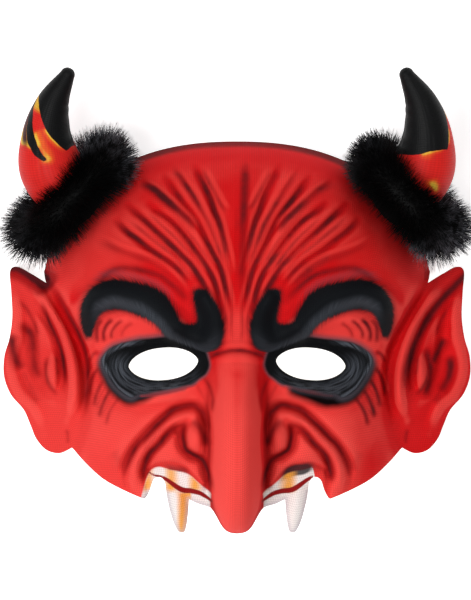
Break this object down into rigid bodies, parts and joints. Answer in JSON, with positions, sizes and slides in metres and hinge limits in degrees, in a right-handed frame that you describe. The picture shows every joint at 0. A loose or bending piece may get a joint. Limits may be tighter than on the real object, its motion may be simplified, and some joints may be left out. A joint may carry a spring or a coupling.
{
  "type": "devil half mask",
  "caption": "Moulded foam and fabric half mask of a devil's face with hooked nose, pointed ears, fangs, padded curved horns and long-haired cuffs.",
  "frame": {"origin": "on the surface that the mask lies on, under the middle of its outer box", "axes": "+Z out of the face, +Y up the face towards the horns, +X to the right of someone who looks at the face"},
  "size_m": [0.2332, 0.2244, 0.1064],
  "materials": {
    "printed_fabric": "printed polyester knit on moulded foam, matt",
    "horn_fabric": "printed polyester knit over padding, slight sheen",
    "long_hair": "long-haired artificial fur"
  },
  "bodies": {
    "root": {"face_sheet": "printed_fabric", "horn_left": "horn_fabric", "horn_right": "horn_fabric", "fur_cuff_left": "long_hair", "fur_cuff_right": "long_hair"}
  },
  "joints": []
}
